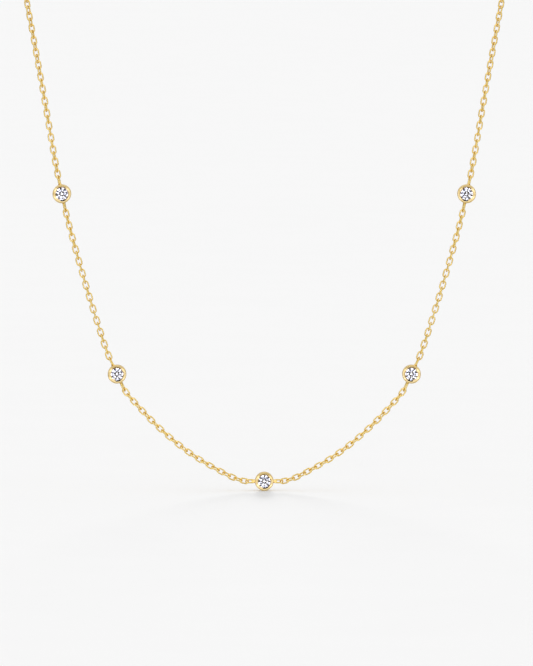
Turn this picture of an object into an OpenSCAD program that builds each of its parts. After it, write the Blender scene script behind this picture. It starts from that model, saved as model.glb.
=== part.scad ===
// Station necklace: a fine oval cable chain that carries five round bezel settings.
// Millimetres. Z is up and the front of the loop faces -Y. The origin is the middle of
// the neck, at the height where the chain crosses the nape.

/* [Chain] */
// Thickness of a link's wire
link_wire = 0.29; // [0.26:0.01:0.34]
// Outside width of a link
link_w = 1.3; // [1.24:0.01:1.4]
// Inside length of a link
link_in = 1.37; // [1.33:0.01:1.5]
// Least clear space between the wires of two links
link_gap = 0.12; // [0.11:0.01:0.14]
// Most that a link rolls to either side of its place, in degrees
link_play = 4; // [0:1:8]
// Links of each upper run, up to where the plain back stretch starts
upper_links = 66; // [40:2:70]

/* [Stations] */
// Distance along the chain from the middle station to the next one
low_gap = 38.1; // [30:0.1:44]
// Distance along the chain from that station to the outermost one
high_gap = 37.8; // [30:0.1:44]
// Diameter of a stone
stone_d = 2.75; // [2.6:0.05:3.1]
// Diameter of the flat table of a stone
table_d = 1.58; // [1.3:0.02:1.8]
// Slope of the crown, in degrees
crown_angle = 34.5; // [31:0.5:37]
// Slope of the pavilion, in degrees
pavilion_angle = 40.8; // [39:0.2:42]
// Thickness of the girdle
girdle_t = 0.08; // [0.04:0.01:0.12]
// How far a star facet reaches out over the crown, as a share
star_share = 0.5; // [0.4:0.02:0.6]
// Where the lower facets end, as a share of the stone's radius
lower_share = 0.22; // [0.16:0.01:0.3]
// Width of the rim, seen from the front
rim_w = 0.62; // [0.5:0.01:0.66]
// Slope of the rim's flat inner face, down to the stone, in degrees
rim_slope = 21; // [10:1:28]
// Radius of the rim's outer edge
crest_r = 0.16; // [0.12:0.01:0.2]
// Radius of the rim's lip over the stone
lip_r = 0.1; // [0.06:0.01:0.12]
// How far the rim reaches over the stone
rim_over = 0.14; // [0.08:0.01:0.16]
// Height of a bezel from its back to its front
bezel_h = 1.9; // [1.9:0.05:2.4]
// How far the girdle lies below the front of the rim
stone_depth = 0.45; // [0.42:0.01:0.5]
// Clear space between the stone and its setting
stone_gap = 0.05; // [0.03:0.01:0.07]
// Diameter of the open hole in the back
back_hole_d = 2.2; // [1.8:0.05:2.4]
// Radius of the rounded back edge
back_edge_r = 0.15; // [0.1:0.01:0.25]
// Inside length of the loop that is soldered to each side of a bezel
loop_in = 1.53; // [1.4:0.01:1.8]
// Extra clear space between a loop and the first link, which hangs at an angle
loop_slack = 0.06; // [0.03:0.005:0.08]
// How deep a loop is sunk into the wall
loop_sink = 0.12; // [0.08:0.01:0.2]
// Diameter of the solder at the wall
solder_d = 0.8; // [0.5:0.02:0.9]
// How far the solder runs out along the loop
solder_l = 0.7; // [0.2:0.02:0.8]

/* [Clasp] */
// Outside diameter of the clasp's ring
clasp_d = 5.4; // [4.8:0.1:6.4]
// Thickness of the clasp's ring
clasp_wire = 0.9; // [0.7:0.05:1.1]
// Outside diameter of the eye on the clasp
eye_d = 2.1; // [2:0.1:2.6]
// Thickness of the eye's wire
eye_wire = 0.45; // [0.35:0.05:0.5]
// Diameter of the thumb knob
knob_d = 1; // [0.8:0.1:1.3]
// Place of the knob round the clasp's ring, in degrees from the eye
knob_turn = 50; // [40:5:70]
// Outside diameter of the end ring
end_ring_d = 3.6; // [3.2:0.1:4.4]
// Thickness of the end ring's wire
end_ring_wire = 0.5; // [0.4:0.05:0.5]
// Clear space between the clasp, the end ring and what they hold
clasp_gap = 0.12; // [0.1:0.01:0.2]

/* [Hidden] */
BEZELS = [for (i = [1:5]) str("bezel_", i)];
STONES = [for (i = [1:5]) str("stone_", i)];
RUNS = ["chain_low", "chain_side", "chain_upper", "chain_back"];
SIDES = ["_left", "_right"];

gold = [0.87, 0.68, 0.33];
white_stone = [0.86, 0.85, 0.92];
$fn = 48;

// Middle line of the chain, from the middle station to the nape on the right side.
// The left side is its mirror image. The first points hang in one upright plane.
ROUTE = [
  [0, -34, -118.42],
  [3.8, -34, -118.42],
  [5.8, -34, -117.86],
  [8.7, -34, -116.44],
  [14.3, -34, -113.18],
  [20.1, -34, -108.56],
  [25.1, -34, -103.5],
  [28.1, -34, -99.9],
  [29.55, -34, -96.75],
  [31, -34, -93.56],
  [33.45, -34, -86.34],
  [36.25, -34, -77.12],
  [38.85, -34, -67.69],
  [39.75, -34, -64.08],
  [40.5, -34, -60.67],
  [41.2, -34, -57.26],
  [44.15, -34, -40.42],
  [46.05, -34, -29.79],
  [47.6, -33.5, -21.3],
  [49, -31, -13.86],
  [50.2, -26, -7.92],
  [51, -19, -4.46],
  [51.4, -11, -2.5],
  [50.7, -3, -1.5],
  [48.6, 5, -1],
  [45, 12.5, -0.5],
  [39.8, 19, 0],
  [33, 24.7, 0],
  [25, 29.2, 0],
  [16.3, 32.4, 0],
  [8, 33.8, 0],
  [4, 34, 0],
  [0, 34, 0]
];
START_DIR = [1, 0, 0];
END_DIR = [-1, 0, 0];
STEPS = 16;
// Reach to either side over which the route's direction is taken
NEAR = 0.2;

// Turn of the chain's outer side in plan along the route: -90 is the front, 90 the nape
OUT_TURN = [[0, -90], [110, -90], [150, 0], [190, 60], [225, 90]];
// Roll of the links about the chain along the route, in degrees
ROLL = [
  [0, 30], [3.6, 30], [4.2, 15], [8, 21], [18, 18], [25, 15], [29, 19], [34, 18], [42, 7], [51, 1],
  [56, 5], [63, 6], [70, 17], [80, 16], [88, 11], [98, 15], [101, 22], [112, 22], [150, 0], [225, 0]
];

// Turn from one link's play to the next one's, so that no two neighbours lie alike
PLAY_TURN = 137;

// Sides of the tube that stands for the back stretch, and the length between its rings
TUBE_SIDES = 8;
RING_STEP = 3;

bezel_r = stone_d / 2 - rim_over + rim_w;
opening_r = stone_d / 2 - rim_over;
back_r = back_hole_d / 2;
girdle_top = bezel_h / 2 - stone_depth;
girdle_bottom = girdle_top - girdle_t;
end_r = (link_w - link_wire) / 2;
most_pitch = link_in - link_gap;
// From a joint between two links to the middle of either link's end wire
hook = (link_wire + link_gap) / 2;
// From the middle of a bezel to the joint between its loop and the first link
reach = bezel_r - loop_sink + loop_in + link_wire * 3 / 2 - hook - loop_slack;

function unit(v) = v / norm(v);
function sums(v) = [for (i = 0, t = 0; i <= len(v); t = t + (i < len(v) ? v[i] : 0), i = i + 1) t];
function last(v) = v[len(v) - 1];

// The route as a smooth curve: each stretch leaves and reaches its points on their tangents
SPANS = [for (i = [1:len(ROUTE) - 1]) norm(ROUTE[i] - ROUTE[i - 1])];
SLOPES = [
  for (i = [0:len(ROUTE) - 1])
    i == 0 ? START_DIR
    : i == len(ROUTE) - 1 ? END_DIR
    : ((ROUTE[i + 1] - ROUTE[i]) * SPANS[i - 1] / SPANS[i]
       + (ROUTE[i] - ROUTE[i - 1]) * SPANS[i] / SPANS[i - 1]) / (SPANS[i] + SPANS[i - 1])
];
function between(i, u) =
  ROUTE[i] * (2 * u ^ 3 - 3 * u ^ 2 + 1)
  + SLOPES[i] * SPANS[i] * (u ^ 3 - 2 * u ^ 2 + u)
  + ROUTE[i + 1] * (3 * u ^ 2 - 2 * u ^ 3)
  + SLOPES[i + 1] * SPANS[i] * (u ^ 3 - u ^ 2);
CURVE = concat(
  [for (i = [0:len(SPANS) - 1], k = [0:STEPS - 1]) between(i, k / STEPS)],
  [last(ROUTE)]
);
LENGTHS = sums([for (i = [1:len(CURVE) - 1]) norm(CURVE[i] - CURVE[i - 1])]);
ALONG = [for (axis = [0:2]) [for (i = [0:len(CURVE) - 1]) [LENGTHS[i], CURVE[i][axis]]]];
half_length = last(LENGTHS);

function route(s) = [for (axis = [0:2]) lookup(s, ALONG[axis])];
function dir(s) = unit(route(s + NEAR) - route(s - NEAR));
function outer(s, x) =
  let (a = lookup(s, OUT_TURN), h = [cos(a), sin(a), 0])
  unit(h - (h * x) * x);

// A frame at p whose X is x and whose Z is z, rolled about X
function frame(p, x, z, roll = 0) =
  let (w = z * cos(roll) + cross(x, z) * sin(roll), y = cross(w, x))
  [[x.x, y.x, w.x, p.x], [x.y, y.y, w.y, p.y], [x.z, y.z, w.z, p.z], [0, 0, 0, 1]];

// Stations on the right side, by their distance from the middle one, and how far along the
// route each one's joints lie. A station is straight, so a bend in the route makes that longer
STATION_S = [0, low_gap, low_gap + high_gap];
STATION_HALF = [
  for (s = STATION_S)
    s == 0 ? reach : 2 * reach ^ 2 / norm(route(s + reach) - route(s - reach))
];
function station_ends(k) =
  k == 0 ? [route(0) - [reach, 0, 0], route(0) + [reach, 0, 0]]
  : [route(STATION_S[k] - STATION_HALF[k]), route(STATION_S[k] + STATION_HALF[k])];
function station_frame(k) =
  let (e = station_ends(k), x = unit(e[1] - e[0]))
  frame((e[0] + e[1]) / 2, x, outer(STATION_S[k], x));

// Each run starts and ends at a joint; its links are spread evenly and their number is odd,
// so that the first and the last link lie alike
function odd_up(v) = 2 * ceil((v - 1) / 2) + 1;
low_start = STATION_HALF[0];
low_end = STATION_S[1] - STATION_HALF[1];
low_links = odd_up((low_end - low_start) / most_pitch);
side_start = STATION_S[1] + STATION_HALF[1];
side_end = STATION_S[2] - STATION_HALF[2];
side_links = odd_up((side_end - side_start) / most_pitch);
upper_start = STATION_S[2] + STATION_HALF[2];

// Along the clasp, from the middle of its ring: the eye, the end ring and the two last joints
ring_r = (clasp_d - clasp_wire) / 2;
eye_r = (eye_d - eye_wire) / 2;
end_ring_r = (end_ring_d - end_ring_wire) / 2;
eye_x = -clasp_d / 2 - eye_r;
end_ring_x = ring_r - (clasp_wire + end_ring_wire) / 2 - clasp_gap + end_ring_r;
eye_joint = eye_x - eye_r + (eye_wire + link_wire) / 2 + clasp_gap - hook;
ring_joint = end_ring_x + end_ring_r - (end_ring_wire + link_wire) / 2 - clasp_gap + hook;
clasp_half = (ring_joint - eye_joint) / 2;
clasp_mid = (ring_joint + eye_joint) / 2;

// The chain from the outermost station to the clasp has an odd number of links too
upper_all = odd_up((half_length - clasp_half - upper_start) / most_pitch);
upper_pitch = (half_length - clasp_half - upper_start) / upper_all;
upper_end = upper_start + upper_links * upper_pitch;
tube_start = upper_end + hook + link_wire / 2 + clasp_gap;

// One closed oval link in the XY plane, with round ends
module link(inside) {
  straight = inside + link_wire - 2 * end_r;
  for (s = [-1, 1]) {
    translate([s * straight / 2, 0, 0])
      rotate([0, 0, -90 * s])
        rotate_extrude(angle = 180)
          translate([end_r, 0])
            circle(d = link_wire);
    translate([-straight / 2, s * end_r, 0])
      rotate([0, 90, 0])
        cylinder(d = link_wire, h = straight);
  }
}

// A run of loose links between two places on the route, every other one turned by 90 degrees
module run(start, end, count, drawn) {
  step = (end - start) / count;
  color(gold)
    for (i = [0:drawn - 1]) {
      a = route(start + i * step);
      b = route(start + (i + 1) * step);
      s = start + (i + 0.5) * step;
      x = unit(b - a);
      roll = 90 * (i % 2) + lookup(s, ROLL) + link_play * sin(PLAY_TURN * i);
      multmatrix(frame((a + b) / 2, x, outer(s, x), roll))
        link(link_in);
    }
}

module chain_low() run(low_start, low_end, low_links, low_links);
module chain_side() run(side_start, side_end, side_links, side_links);
module chain_upper() run(upper_start, half_length - clasp_half, upper_all, upper_links);

// The plain tube along the hidden back stretch, up to what holds its end
module chain_back(end) {
  n = ceil((end - tube_start) / RING_STEP);
  rings = [
    for (k = [0:n], j = [0:TUBE_SIDES - 1])
      let (s = tube_start + (end - tube_start) * k / n,
           x = dir(s),
           z = outer(s, x),
           a = 360 * (j + 0.5) / TUBE_SIDES)
      route(s) + link_w / 2 * (cos(a) * z + sin(a) * cross(x, z))
  ];
  color(gold)
    polyhedron(rings, concat(
      [[for (j = [0:TUBE_SIDES - 1]) j]],
      [for (k = [0:n - 1], j = [0:TUBE_SIDES - 1])
        let (a = k * TUBE_SIDES, b = (j + 1) % TUBE_SIDES)
        [a + j, a + TUBE_SIDES + j, a + TUBE_SIDES + b, a + b]],
      [[for (j = [TUBE_SIDES - 1:-1:0]) n * TUBE_SIDES + j]]
    ));
}

// Wall, sloping rim and seat of a setting, turned about the axis of the stone
module setting() {
  seat_r = stone_d / 2 + stone_gap;
  seat_z = girdle_bottom - stone_gap;
  low_seat_z = seat_z - (seat_r - back_r) * tan(pavilion_angle);
  crown_z = girdle_top + stone_gap;
  // Middles of the rim's two rounded edges, and the direction square to the face between them
  crest = [bezel_r - crest_r, bezel_h / 2 - crest_r];
  lip_x = opening_r + lip_r;
  lip_drop = ((crest.x - lip_x) * sin(rim_slope) - crest_r + lip_r) / cos(rim_slope);
  lip = [lip_x, crest.y - lip_drop];
  up = [-sin(rim_slope), cos(rim_slope)];
  rotate_extrude()
    difference() {
      union() {
        translate(crest)
          circle(r = crest_r);
        translate(lip)
          circle(r = lip_r);
        polygon([
          [opening_r, seat_z],
          [bezel_r, seat_z],
          [bezel_r, crest.y],
          crest + crest_r * up,
          lip + lip_r * up,
          [opening_r, lip.y]
        ]);
        translate([back_r, back_edge_r - bezel_h / 2])
          square([bezel_r - back_r, bezel_h / 2 - back_edge_r + seat_z]);
        translate([back_r, -bezel_h / 2])
          square([bezel_r - back_edge_r - back_r, 2 * back_edge_r]);
        translate([bezel_r - back_edge_r, back_edge_r - bezel_h / 2])
          circle(r = back_edge_r);
      }
      polygon([
        [0, low_seat_z],
        [back_r, low_seat_z],
        [seat_r, seat_z],
        [seat_r, crown_z],
        [0, crown_z + seat_r * tan(crown_angle)]
      ]);
    }
}

// A loop and its solder on the side that X points to, edge on and rolled as the chain is
module loop(roll) {
  rotate([90 + roll, 0, 0])
    translate([bezel_r - loop_sink + link_wire + loop_in / 2, 0, 0])
      link(loop_in);
  translate([bezel_r - loop_sink, 0, 0])
    rotate([0, 90, 0])
      cylinder(d1 = solder_d, d2 = link_wire, h = loop_sink + solder_l);
}

module bezel(k) {
  color(gold)
    multmatrix(station_frame(k)) {
      setting();
      loop(lookup(STATION_S[k] + reach, ROLL));
      mirror([1, 0, 0])
        loop(lookup(abs(STATION_S[k] - reach), ROLL));
    }
}

// A round brilliant: table, 8 stars, 8 kites, 16 upper and 16 lower facets, 8 mains
module stone(k) {
  turn = 360 / 16;
  r = stone_d / 2;
  t = table_d / 2;
  crown_h = (r - t) * tan(crown_angle);
  pavilion_h = r * tan(pavilion_angle);
  // A star's tip and a lower facet's tip lie on the planes of the kites and the mains
  star_r = t + (r - t) * star_share;
  low_r = r * lower_share;
  star_z = girdle_top + (r - star_r * cos(turn)) * tan(crown_angle);
  low_z = girdle_bottom - pavilion_h * (1 - low_r * cos(turn) / r);
  function at(radius, angle, z) = [radius * cos(angle), radius * sin(angle), z];
  points = concat(
    [for (i = [0:7]) at(t, 2 * turn * i, girdle_top + crown_h)],
    [for (i = [0:7]) at(star_r, (2 * i + 1) * turn, star_z)],
    [for (i = [0:15]) at(r, turn * i, girdle_top)],
    [for (i = [0:15]) at(r, turn * i, girdle_bottom)],
    [for (i = [0:7]) at(low_r, (2 * i + 1) * turn, low_z)],
    [[0, 0, girdle_bottom - pavilion_h]]
  );
  // Where each ring of points starts
  star = 8;
  top = 16;
  bottom = 32;
  low = 48;
  culet = 56;
  faces = concat(
    [[for (i = [7:-1:0]) i]],
    [for (i = [0:7]) [i, (i + 1) % 8, star + i]],
    [for (i = [0:7]) [i, star + i, top + 2 * i, star + (i + 7) % 8]],
    [for (i = [0:7]) [star + i, top + 2 * i + 1, top + 2 * i]],
    [for (i = [0:7]) [star + i, top + (2 * i + 2) % 16, top + 2 * i + 1]],
    [for (i = [0:15]) [top + i, top + (i + 1) % 16, bottom + (i + 1) % 16, bottom + i]],
    [for (i = [0:7]) [low + i, bottom + 2 * i, bottom + 2 * i + 1]],
    [for (i = [0:7]) [low + i, bottom + 2 * i + 1, bottom + (2 * i + 2) % 16]],
    [for (i = [0:7]) [culet, low + (i + 7) % 8, bottom + 2 * i, low + i]]
  );
  color(white_stone)
    multmatrix(station_frame(k))
      polyhedron(points, faces);
}

module ring(outside, wire) {
  rotate_extrude()
    translate([(outside - wire) / 2, 0])
      circle(d = wire);
}

// Moves a piece of the clasp to the nape, with its length along X
module at_nape() {
  translate(last(ROUTE) - [clasp_mid, 0, 0])
    children();
}

// A plain ring clasp with its eye and thumb knob
module clasp() {
  color(gold)
    at_nape() {
      rotate([90, 0, 0])
        ring(clasp_d, clasp_wire);
      translate([eye_x, 0, 0])
        ring(eye_d, eye_wire);
      translate([-ring_r * cos(knob_turn), 0, ring_r * sin(knob_turn) + clasp_wire / 2])
        sphere(d = knob_d);
    }
}

module end_ring() {
  color(gold)
    at_nape()
      translate([end_ring_x, 0, 0])
        ring(end_ring_d, end_ring_wire);
}

// Draws what belongs to the right side, or its mirror image on the left
module side(name) {
  if (name == "_right") children();
  else mirror([1, 0, 0]) children();
}

for (i = [1:5]) {
  k = abs(i - 3);
  s = i < 3 ? "_left" : "_right";
  side(s) bezel(k);
  side(s) stone(k);
}
for (s = SIDES) {
  back_end = s == "_left" ? clasp_mid - eye_x + eye_d / 2 : end_ring_x + end_ring_d / 2 - clasp_mid;
  side(s) chain_low();
  side(s) chain_side();
  side(s) chain_upper();
  side(s) chain_back(half_length - back_end - clasp_gap);
}
clasp();
end_ring();
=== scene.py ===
"""Looks of the station necklace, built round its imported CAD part.

Metres. Z is up, the front of the loop faces -Y, and the origin is the middle of the neck at
the height of the nape. The CAD part gives the settings, the stones, the clasp, the end ring and
the links that the photo shows. This script adds the links of the hidden back stretch, the
materials, the floor, the light and the camera.
"""

import math

import bpy
import numpy as np
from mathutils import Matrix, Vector


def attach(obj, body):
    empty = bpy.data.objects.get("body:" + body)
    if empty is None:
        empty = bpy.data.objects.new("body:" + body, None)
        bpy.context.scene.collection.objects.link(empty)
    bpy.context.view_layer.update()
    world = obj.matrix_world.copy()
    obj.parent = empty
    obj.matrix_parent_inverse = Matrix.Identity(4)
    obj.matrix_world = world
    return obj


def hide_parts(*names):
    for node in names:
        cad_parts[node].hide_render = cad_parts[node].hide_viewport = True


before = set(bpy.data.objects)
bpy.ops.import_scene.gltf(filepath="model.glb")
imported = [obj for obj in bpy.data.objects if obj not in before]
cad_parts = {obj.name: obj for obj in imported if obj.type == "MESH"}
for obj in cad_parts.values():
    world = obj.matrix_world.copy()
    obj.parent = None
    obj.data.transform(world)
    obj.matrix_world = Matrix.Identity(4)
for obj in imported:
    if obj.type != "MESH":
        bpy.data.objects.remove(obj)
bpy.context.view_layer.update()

MM = 0.001

# Values that the CAD part has too, under the same names: lengths in millimetres, the most that a
# link rolls to either side in degrees, and the number of links that the part draws on each side
LINK_WIRE = 0.29
LINK_W = 1.3
LINK_IN = 1.37
LINK_GAP = 0.12
LINK_PLAY = 4
UPPER_LINKS = 66
LOW_GAP = 38.1
HIGH_GAP = 37.8
STONE_D = 2.75
RIM_W = 0.62
RIM_OVER = 0.14
LOOP_IN = 1.53
LOOP_SLACK = 0.06
LOOP_SINK = 0.12
CLASP_D = 5.4
CLASP_WIRE = 0.9
EYE_D = 2.1
EYE_WIRE = 0.45
END_RING_D = 3.6
END_RING_WIRE = 0.5
CLASP_GAP = 0.12

# Middle line of the chain from the middle station to the nape, on the right side
ROUTE = np.array([
    [0, -34, -118.42], [3.8, -34, -118.42], [5.8, -34, -117.86], [8.7, -34, -116.44],
    [14.3, -34, -113.18], [20.1, -34, -108.56], [25.1, -34, -103.5], [28.1, -34, -99.9],
    [29.55, -34, -96.75], [31, -34, -93.56], [33.45, -34, -86.34], [36.25, -34, -77.12],
    [38.85, -34, -67.69], [39.75, -34, -64.08], [40.5, -34, -60.67], [41.2, -34, -57.26],
    [44.15, -34, -40.42], [46.05, -34, -29.79], [47.6, -33.5, -21.3], [49, -31, -13.86],
    [50.2, -26, -7.92], [51, -19, -4.46], [51.4, -11, -2.5], [50.7, -3, -1.5],
    [48.6, 5, -1], [45, 12.5, -0.5], [39.8, 19, 0], [33, 24.7, 0],
    [25, 29.2, 0], [16.3, 32.4, 0], [8, 33.8, 0], [4, 34, 0], [0, 34, 0],
])
START_DIR = np.array([1.0, 0, 0])
END_DIR = np.array([-1.0, 0, 0])
# Steps of the smooth curve between two points of the route
STEPS = 16
# Turn of the chain's outer side in plan along the route: -90 is the front, 90 the nape
OUT_TURN = ([0, 110, 150, 190, 225], [-90, -90, 0, 60, 90])
# Roll of the links about the chain along the route, in degrees
ROLL = (
    [0, 3.6, 4.2, 8, 18, 25, 29, 34, 42, 51, 56, 63, 70, 80, 88, 98, 101, 112, 150, 225],
    [30, 30, 15, 21, 18, 15, 19, 18, 7, 1, 5, 6, 17, 16, 11, 15, 22, 22, 0, 0],
)
# Turn from one link's play to the next one's, so that no two neighbours lie alike
PLAY_TURN = 137


def cosine(degrees):
    return math.cos(math.radians(degrees))


def sine(degrees):
    return math.sin(math.radians(degrees))


def unit(v):
    return v / np.linalg.norm(v)


def smooth_curve(points):
    """The points joined by cubic stretches that leave and reach them on shared tangents."""
    spans = np.linalg.norm(np.diff(points, axis=0), axis=1)
    slopes = [START_DIR]
    for i in range(1, len(points) - 1):
        ahead = (points[i + 1] - points[i]) * spans[i - 1] / spans[i]
        behind = (points[i] - points[i - 1]) * spans[i] / spans[i - 1]
        slopes.append((ahead + behind) / (spans[i - 1] + spans[i]))
    slopes.append(END_DIR)
    curve = []
    for i, span in enumerate(spans):
        for k in range(STEPS):
            u = k / STEPS
            curve.append(
                points[i] * (2 * u**3 - 3 * u**2 + 1)
                + slopes[i] * span * (u**3 - 2 * u**2 + u)
                + points[i + 1] * (3 * u**2 - 2 * u**3)
                + slopes[i + 1] * span * (u**3 - u**2)
            )
    curve.append(points[-1])
    return np.array(curve)


CURVE = smooth_curve(ROUTE)
ALONG = np.concatenate([[0], np.cumsum(np.linalg.norm(np.diff(CURVE, axis=0), axis=1))])
HALF_LENGTH = ALONG[-1]


def route(s):
    """The point of the middle line at the distance s along it."""
    return np.array([np.interp(s, ALONG, CURVE[:, axis]) for axis in range(3)])


def outer(s, x):
    """The chain's outer side at s, square to the direction x."""
    turn = np.interp(s, *OUT_TURN)
    level = np.array([cosine(turn), sine(turn), 0])
    return unit(level - level.dot(x) * x)


BEZEL_R = STONE_D / 2 - RIM_OVER + RIM_W
# From a joint between two links to the middle of either link's end wire
HOOK = (LINK_WIRE + LINK_GAP) / 2
# From the middle of a bezel to the joint between its loop and the first link
REACH = BEZEL_R - LOOP_SINK + LOOP_IN + LINK_WIRE * 1.5 - HOOK - LOOP_SLACK
# Stations on the right side, by their distance from the middle one
STATIONS = (0, LOW_GAP, LOW_GAP + HIGH_GAP)


def station(s):
    """Half of the route's length that the station at s takes up, and the middle of its setting."""
    if s == 0:
        return REACH, route(0)
    half = 2 * REACH**2 / np.linalg.norm(route(s + REACH) - route(s - REACH))
    return half, (route(s + half) + route(s - half)) / 2


# Along the clasp, from the middle of its ring: the eye, the end ring and the two last joints
RING_R = (CLASP_D - CLASP_WIRE) / 2
EYE_R = (EYE_D - EYE_WIRE) / 2
END_RING_R = (END_RING_D - END_RING_WIRE) / 2
EYE_X = -CLASP_D / 2 - EYE_R
END_RING_X = RING_R - (CLASP_WIRE + END_RING_WIRE) / 2 - CLASP_GAP + END_RING_R
EYE_JOINT = EYE_X - EYE_R + (EYE_WIRE + LINK_WIRE) / 2 + CLASP_GAP - HOOK
RING_JOINT = END_RING_X + END_RING_R - (END_RING_WIRE + LINK_WIRE) / 2 - CLASP_GAP + HOOK
CLASP_HALF = (RING_JOINT - EYE_JOINT) / 2

# The upper run, from the outermost station to the clasp. Its links are spread evenly and their
# number is odd, so that the first and the last one lie alike.
UPPER_START = STATIONS[2] + station(STATIONS[2])[0]
UPPER_LENGTH = HALF_LENGTH - CLASP_HALF - UPPER_START
UPPER_ALL = 2 * math.ceil((UPPER_LENGTH / (LINK_IN - LINK_GAP) - 1) / 2) + 1
UPPER_PITCH = UPPER_LENGTH / UPPER_ALL

# Corners round a link's wire, and steps along each of its round ends
WIRE_SIDES = 12
BEND_STEPS = 9


def link_outline():
    """Middle line of one link in its own plane, as points and outward directions."""
    r = (LINK_W - LINK_WIRE) / 2
    straight = LINK_IN + LINK_WIRE - 2 * r
    points, outward = [], []
    for end in (1, -1):
        for k in range(BEND_STEPS + 1):
            a = math.pi * (k / BEND_STEPS - 0.5)
            d = np.array([math.cos(a), math.sin(a), 0]) * end
            points.append(np.array([end * straight / 2, 0, 0]) + r * d)
            outward.append(d)
    return points, outward


def link_mesh():
    """Points and faces of one link, its wire swept round the outline."""
    points, outward = link_outline()
    across = np.array([0, 0, 1])
    verts, faces = [], []
    for p, d in zip(points, outward):
        for j in range(WIRE_SIDES):
            a = 2 * math.pi * j / WIRE_SIDES
            verts.append(p + LINK_WIRE / 2 * (math.cos(a) * d + math.sin(a) * across))
    n = len(points)
    for i in range(n):
        for j in range(WIRE_SIDES):
            k = (j + 1) % WIRE_SIDES
            a, b = i * WIRE_SIDES, (i + 1) % n * WIRE_SIDES
            faces.append((a + j, b + j, b + k, a + k))
    return np.array(verts), faces


def new_piece(name, verts, faces):
    mesh = bpy.data.meshes.new(name)
    mesh.from_pydata(np.asarray(verts).tolist(), [], faces)
    mesh.update()
    piece = bpy.data.objects.new(name, mesh)
    bpy.context.scene.collection.objects.link(piece)
    return piece


def back_links(name, mirrored):
    """The hidden links of one side as one mesh, in the places that the tube stands for."""
    verts, faces = link_mesh()
    all_verts, all_faces = [], []
    for i in range(UPPER_LINKS, UPPER_ALL):
        a = route(UPPER_START + i * UPPER_PITCH)
        b = route(UPPER_START + (i + 1) * UPPER_PITCH)
        s = UPPER_START + (i + 0.5) * UPPER_PITCH
        x = unit(b - a)
        z = outer(s, x)
        roll = 90 * (i % 2) + np.interp(s, *ROLL) + LINK_PLAY * sine(PLAY_TURN * i)
        w = z * cosine(roll) + np.cross(x, z) * sine(roll)
        y = np.cross(w, x)
        placed = (a + b) / 2 + verts @ np.array([x, y, w])
        if mirrored:
            placed = placed * [-1, 1, 1]
        start = len(all_verts) * len(verts)
        all_verts.append(placed)
        for face in faces:
            face = tuple(start + v for v in face)
            all_faces.append(face[::-1] if mirrored else face)
    piece = new_piece(name, np.concatenate(all_verts) * MM, all_faces)
    piece.data.polygons.foreach_set("use_smooth", [True] * len(all_faces))
    return piece


class Graph:
    """The nodes of one material or world. A value is a number, a colour or another node's socket."""

    def __init__(self, tree):
        self.nodes, self.links = tree.nodes, tree.links
        self.nodes.clear()

    def plug(self, value, socket):
        if isinstance(value, bpy.types.NodeSocket):
            self.links.new(value, socket)
        elif isinstance(value, tuple) and len(socket.default_value) == 4:
            socket.default_value = (*value, 1)
        else:
            socket.default_value = value

    def noise(self, scale, detail, coords):
        n = self.nodes.new("ShaderNodeTexNoise")
        self.plug(scale, n.inputs["Scale"])
        self.plug(detail, n.inputs["Detail"])
        self.plug(coords, n.inputs["Vector"])
        return n.outputs["Fac"]

    def ramp(self, fac, stops):
        """A colour ramp; each stop is a place and a colour or a grey."""
        r = self.nodes.new("ShaderNodeValToRGB")
        elements = r.color_ramp.elements
        while len(elements) < len(stops):
            elements.new(0.5)
        for e, (place, c) in zip(elements, stops):
            e.position = place
            e.color = (*c, 1) if isinstance(c, tuple) else (c, c, c, 1)
        self.plug(fac, r.inputs["Fac"])
        return r.outputs["Color"]

    def maths(self, operation, a, b=0.0):
        m = self.nodes.new("ShaderNodeMath")
        m.operation = operation
        self.plug(a, m.inputs[0])
        self.plug(b, m.inputs[1])
        return m.outputs[0]

    def vector(self, operation, a, b):
        m = self.nodes.new("ShaderNodeVectorMath")
        m.operation = operation
        self.plug(a, m.inputs[0])
        self.plug(b, m.inputs[1])
        return m.outputs["Value" if operation == "DOT_PRODUCT" else "Vector"]

    def split(self, vector):
        s = self.nodes.new("ShaderNodeSeparateXYZ")
        self.plug(vector, s.inputs[0])
        return s.outputs

    def step(self, value, start, full):
        """0 up to start, 1 from full on, and a smooth change between them; either may be larger."""
        m = self.nodes.new("ShaderNodeMapRange")
        m.interpolation_type = "SMOOTHSTEP"
        self.plug(value, m.inputs["Value"])
        self.plug(start, m.inputs["From Min"])
        self.plug(full, m.inputs["From Max"])
        return m.outputs["Result"]

    def all_of(self, *shares):
        product = shares[0]
        for share in shares[1:]:
            product = self.maths("MULTIPLY", product, share)
        return product

    def mix(self, a, b, share):
        """The number a where share is 0 and b where it is 1."""
        rest = self.maths("SUBTRACT", 1.0, share)
        return self.maths("ADD", self.maths("MULTIPLY", a, rest), self.maths("MULTIPLY", b, share))

    def blend(self, a, b, share):
        """The colour a where share is 0 and b where it is 1."""
        m = self.nodes.new("ShaderNodeMix")
        m.data_type = "RGBA"
        self.plug(share, m.inputs["Factor"])
        self.plug(a, m.inputs["A"])
        self.plug(b, m.inputs["B"])
        return m.outputs["Result"]


def new_material(name):
    """A material, its graph, the sockets of its shader and the coordinates on the piece."""
    material = bpy.data.materials.new(name)
    material.use_nodes = True
    g = Graph(material.node_tree)
    shader = g.nodes.new("ShaderNodeBsdfPrincipled")
    g.plug(shader.outputs[0], g.nodes.new("ShaderNodeOutputMaterial").inputs[0])
    return material, g, shader.inputs, g.nodes.new("ShaderNodeTexCoord").outputs["Object"]


# Deep, main and pale tone of the settings' gold, and of the chain's, which is a richer yellow
SETTING_GOLD = ((0.87, 0.63, 0.25), (0.89, 0.66, 0.285), (0.91, 0.69, 0.33))
CHAIN_GOLD = ((0.91, 0.65, 0.19), (0.93, 0.69, 0.23), (0.95, 0.73, 0.28))
TONE_PLACES = (0.3, 0.5, 0.7)
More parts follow.
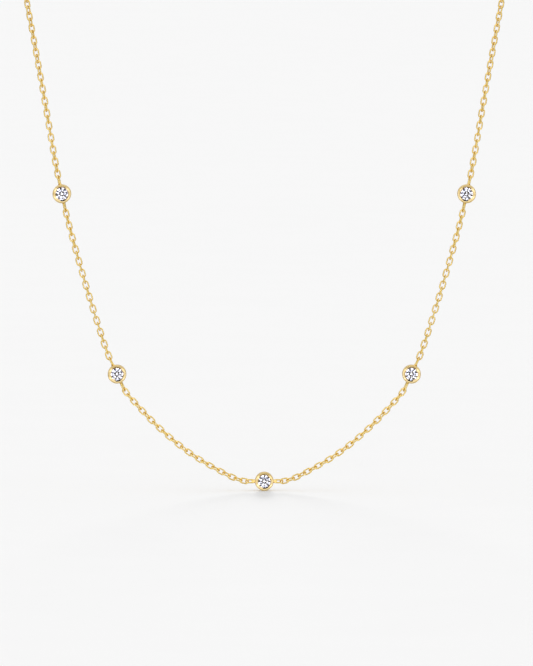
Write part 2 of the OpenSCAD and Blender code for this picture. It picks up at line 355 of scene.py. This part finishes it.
# Scale and detail of the noise in the gold's tone, in its haze and in its fine polishing marks
TONE_NOISE = (900, 3)
HAZE_NOISE = (2600, 4)
MARK_NOISE = (14000, 2)
GOLD_ROUGHNESS = ((0.3, 0.08), (0.7, 0.17))
MARK_STRENGTH = 0.08
MARK_DEPTH = 0.004 * MM
# Width over which a setting's tone turns into that of its loops
LOOP_FADE = 0.1 * MM
# Shade and dark reflections painted into the gold's colour in the gap between rim and stone: a faint
# line round one side, a wider one at the top, a brown one low at the side and a black patch at the
# lower edge. Each has its colour, its outer radius, how far its middle leans from the lowest point,
# and its half width, both in degrees.
PAINTED_SHADES = (
    ((0.45, 0.28, 0.11), 1.33 * MM, 100, 110),
    ((0.28, 0.17, 0.06), 1.43 * MM, 184, 34),
    ((0.22, 0.13, 0.05), 1.38 * MM, 34, 26),
    ((0.012, 0.01, 0.008), 1.44 * MM, 11, 17),
)
SHADE_FROM = 1.22 * MM
SHADE_INNER_FADE = 0.02 * MM
SHADE_OUTER_FADE = 0.05 * MM
SHADE_END_FADE = 8


def gold_material(name, tones, setting=None, side=1):
    """Polished yellow gold: soft changes of tone and fine polishing marks.

    A setting, given by its middle, has loops in the chain's tones, and shade painted into its colour
    between rim and stone, which leans to +X where side is 1 and to -X where it is -1.
    """
    material, g, shader, coords = new_material(name)
    tone = g.noise(*TONE_NOISE, coords)
    colour = g.ramp(tone, list(zip(TONE_PLACES, tones)))
    if setting is not None:
        place = g.vector("SUBTRACT", coords, tuple(setting))
        x, _, z = g.split(place)
        radius = g.maths("SQRT", g.maths("ADD", g.maths("MULTIPLY", x, x), g.maths("MULTIPLY", z, z)))
        loops = g.ramp(tone, list(zip(TONE_PLACES, CHAIN_GOLD)))
        colour = g.blend(colour, loops, g.step(radius, BEZEL_R * MM, BEZEL_R * MM + LOOP_FADE))
        # Shade and dark reflections painted into the base colour, one arc for each row of the table
        for shade, edge, lean, half in PAINTED_SHADES:
            middle = (side * sine(lean), 0, -cosine(lean))
            turn = g.maths("DIVIDE", g.vector("DOT_PRODUCT", place, middle), radius)
            share = g.all_of(
                g.step(radius, SHADE_FROM - SHADE_INNER_FADE, SHADE_FROM),
                g.step(radius, edge + SHADE_OUTER_FADE, edge),
                g.step(turn, cosine(half + SHADE_END_FADE), cosine(half)),
            )
            colour = g.blend(colour, shade, share)
    g.plug(colour, shader["Base Color"])
    g.plug(1.0, shader["Metallic"])
    g.plug(g.ramp(g.noise(*HAZE_NOISE, coords), GOLD_ROUGHNESS), shader["Roughness"])
    bump = g.nodes.new("ShaderNodeBump")
    g.plug(MARK_STRENGTH, bump.inputs["Strength"])
    g.plug(MARK_DEPTH, bump.inputs["Distance"])
    g.plug(g.noise(*MARK_NOISE, coords), bump.inputs["Height"])
    g.plug(bump.outputs["Normal"], shader["Normal"])
    return material


# Scale and detail of the noise in the stones' faint cast
CAST_NOISE = (1500, 2)
STONE_TONES = ((0.35, (0.93, 0.91, 0.98)), (0.65, (1.0, 0.99, 1.0)))
STONE_ROUGHNESS = ((0.3, 0.0), (0.7, 0.01))
STONE_IOR = 2.42


def stone_material():
    """A clear white brilliant: strong refraction with a faint cool cast that changes inside."""
    material, g, shader, coords = new_material("white_brilliant")
    cast = g.noise(*CAST_NOISE, coords)
    g.plug(g.ramp(cast, STONE_TONES), shader["Base Color"])
    g.plug(1.0, shader["Transmission Weight"])
    g.plug(STONE_IOR, shader["IOR"])
    g.plug(g.ramp(cast, STONE_ROUGHNESS), shader["Roughness"])
    return material


# Scale and detail of the noise in the floor's tone
FLOOR_NOISE = (40, 2)
FLOOR_TONES = ((0.3, 0.86), (0.7, 0.865))


def floor_material():
    """A pale floor without gloss and with a faint change of tone."""
    material, g, shader, coords = new_material("pale_floor")
    g.plug(g.ramp(g.noise(*FLOOR_NOISE, coords), FLOOR_TONES), shader["Base Color"])
    g.plug(1.0, shader["Roughness"])
    g.plug(0.0, shader["Specular IOR Level"])
    return material


def dress(piece, material):
    piece.data.materials.clear()
    piece.data.materials.append(material)


CLASP_MATERIAL = gold_material("polished_gold", SETTING_GOLD)
CHAIN_MATERIAL = gold_material("drawn_gold_wire", CHAIN_GOLD)
STONE_MATERIAL = stone_material()
MIDDLE_BEZEL = 3

for name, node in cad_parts.items():
    kind = name.split("_")[0]
    if kind == "bezel":
        number = int(name.split("_")[1]) - MIDDLE_BEZEL
        middle = station(STATIONS[abs(number)])[1] * [-1 if number < 0 else 1, 1, 1] * MM
        # The painted shade leans to the necklace's middle, so the right half mirrors the left one
        lean = -1 if number > 0 else 1
        dress(node, gold_material(f"gold_with_painted_shade_of_{name}", SETTING_GOLD, middle, lean))
    else:
        dress(node, {"stone": STONE_MATERIAL, "chain": CHAIN_MATERIAL}.get(kind, CLASP_MATERIAL))

for side, mirrored in (("left", True), ("right", False)):
    piece = back_links(f"back_links_{side}", mirrored)
    dress(piece, CHAIN_MATERIAL)
    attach(piece, "root")
    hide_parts(f"chain_back_{side}")

# The floor lies just below the lowest setting
FLOOR_GAP = 0.025 * MM
FLOOR_Z = (ROUTE[0][2] - BEZEL_R) * MM - FLOOR_GAP
FLOOR_R = 6.0
FLOOR_SIDES = 48

corners = [2 * math.pi * k / FLOOR_SIDES for k in range(FLOOR_SIDES)]
floor = new_piece(
    "floor",
    [(FLOOR_R * math.cos(a), FLOOR_R * math.sin(a), FLOOR_Z) for a in corners],
    [tuple(range(FLOOR_SIDES))],
)
dress(floor, floor_material())
floor.visible_glossy = False
floor.visible_transmission = False

# The studio that the metal sees: a dim front, then to each side a bright strip, a wide box and a
# dark end, a light ceiling, a dimmer ground and a golden back. A direction is 1 long. Each pair
# gives where on one of its axes a brightness starts and where it is full.
METAL_FRONT = 0.34
STRIPS = 2.2
STRIPS_ASIDE = (0.25, 0.4)
BOXES = 0.86
BOXES_ASIDE = (0.54, 0.64)
ENDS = 0.24
ENDS_ASIDE = (0.8, 0.92)
CEILING = 1.06
CEILING_UP = (0.25, 0.4)
CEILING_ASIDE = (0.75, 0.55)
GROUND = 0.76
GROUND_UP = (-0.2, -0.45)
GROUND_ASIDE = (0.75, 0.3)
BACK_BELOW = 0.38
BACK_ABOVE = 0.72
BACK_UP = (-0.3, 0.3)
BACK_BEHIND = (0.05, 0.4)
# Tints of its dim, its middle and its bright parts, and of its back
METAL_TINTS = ((0.2, (0.93, 0.84, 0.54)), (0.7, (1.0, 1.0, 0.97)), (1.0, (1.0, 1.06, 1.3)))
BACK_TINT = (1.0, 0.84, 0.52)

# The studio that the stones see: cards of many tones, which each facet picks out as one light or
# dark fleck, and the dark camera in the middle of them, with its half angle and fade in degrees
STONE_FRONT = 1.22
STONE_BACK = 1.04
STONE_BEHIND = (-0.1, 0.2)
CARD_NOISE = (2.0, 1)
CARD_TONES = ((0.39, 0.0), (0.42, 0.25), (0.445, 1.25), (0.57, 2.4))
CAMERA_DARK = 0.01
CAMERA_SPOT = (-0.04, -1, 0.1)
CAMERA_ANGLE = 19
CAMERA_FADE = 3

# The even sky that the floor sees, and the tint of the light for floor and stones
FLOOR_SKY = 0.848
NO_TINT = (1.0, 1.0, 1.0)


def studio_for_metal(g, direction):
    """Brightness and tint of what the metal reflects."""
    x, y, z = g.split(direction)
    aside = g.maths("ABSOLUTE", x)
    metal = g.mix(METAL_FRONT, STRIPS, g.step(aside, *STRIPS_ASIDE))
    metal = g.mix(metal, BOXES, g.step(aside, *BOXES_ASIDE))
    metal = g.mix(metal, ENDS, g.step(aside, *ENDS_ASIDE))
    metal = g.mix(metal, CEILING, g.all_of(g.step(z, *CEILING_UP), g.step(aside, *CEILING_ASIDE)))
    metal = g.mix(metal, GROUND, g.all_of(g.step(z, *GROUND_UP), g.step(aside, *GROUND_ASIDE)))
    behind = g.step(y, *BACK_BEHIND)
    metal = g.mix(metal, g.mix(BACK_BELOW, BACK_ABOVE, g.step(z, *BACK_UP)), behind)
    return metal, g.blend(g.ramp(metal, METAL_TINTS), BACK_TINT, behind)


def studio_for_stones(g, direction):
    """Brightness of what the stones refract."""
    _, y, _ = g.split(direction)
    cards = g.ramp(g.noise(*CARD_NOISE, direction), CARD_TONES)
    stone = g.maths("MULTIPLY", g.mix(STONE_FRONT, STONE_BACK, g.step(y, *STONE_BEHIND)), cards)
    spot = g.vector("DOT_PRODUCT", direction, tuple(Vector(CAMERA_SPOT).normalized()))
    dark = g.step(spot, cosine(CAMERA_ANGLE + CAMERA_FADE), cosine(CAMERA_ANGLE))
    return g.mix(stone, CAMERA_DARK, dark)


def make_studio():
    """The world's light: one studio for the metal, one for the stones and a sky for the floor."""
    world = bpy.data.worlds.new("studio")
    bpy.context.scene.world = world
    world.use_nodes = True
    g = Graph(world.node_tree)
    studio = g.nodes.new("ShaderNodeBackground")
    g.plug(studio.outputs[0], g.nodes.new("ShaderNodeOutputWorld").inputs[0])
    direction = g.nodes.new("ShaderNodeTexCoord").outputs["Generated"]
    rays = g.nodes.new("ShaderNodeLightPath").outputs
    metal, tint = studio_for_metal(g, direction)
    light = g.mix(metal, studio_for_stones(g, direction), rays["Is Transmission Ray"])
    light = g.mix(light, FLOOR_SKY, rays["Is Diffuse Ray"])
    g.plug(light, studio.inputs["Strength"])
    g.plug(g.blend(NO_TINT, tint, rays["Is Glossy Ray"]), studio.inputs["Color"])


# A low lamp behind the necklace, for the soft shadow that falls forward on the floor, with its
# height above the floor's level and its width in degrees
LAMP_POWER = 5.2
LAMP_HEIGHT = 8
LAMP_WIDTH = 12


def make_lamp():
    lamp = bpy.data.lights.new("back_lamp", "SUN")
    lamp.energy = LAMP_POWER
    lamp.angle = math.radians(LAMP_WIDTH)
    sun = bpy.data.objects.new("back_lamp", lamp)
    bpy.context.scene.collection.objects.link(sun)
    sun.rotation_euler = (math.radians(LAMP_HEIGHT - 90), 0, 0)
    sun.visible_glossy = False
    sun.visible_transmission = False


# The camera looks at the middle of the photo's frame, a little from above, with a long lens
AIM = Vector((0.45, -34, -88.7)) * MM
TILT = math.radians(3.5)
DISTANCE = 2.0
VIEW_HEIGHT = 133.2 * MM
SENSOR_HEIGHT = 24
NEAR = 0.05
FAR = 50


def make_camera():
    data = bpy.data.cameras.new("camera")
    data.sensor_fit = "VERTICAL"
    data.sensor_height = SENSOR_HEIGHT
    data.lens = SENSOR_HEIGHT * DISTANCE / VIEW_HEIGHT
    data.clip_start = NEAR
    data.clip_end = FAR
    camera = bpy.data.objects.new("camera", data)
    camera.location = AIM + Vector((0, -math.cos(TILT), math.sin(TILT))) * DISTANCE
    camera.rotation_euler = (math.pi / 2 - TILT, 0, 0)
    bpy.context.scene.collection.objects.link(camera)
    return camera


make_studio()
make_lamp()
bpy.context.scene.camera = make_camera()
bpy.context.scene.view_settings.view_transform = "Standard"
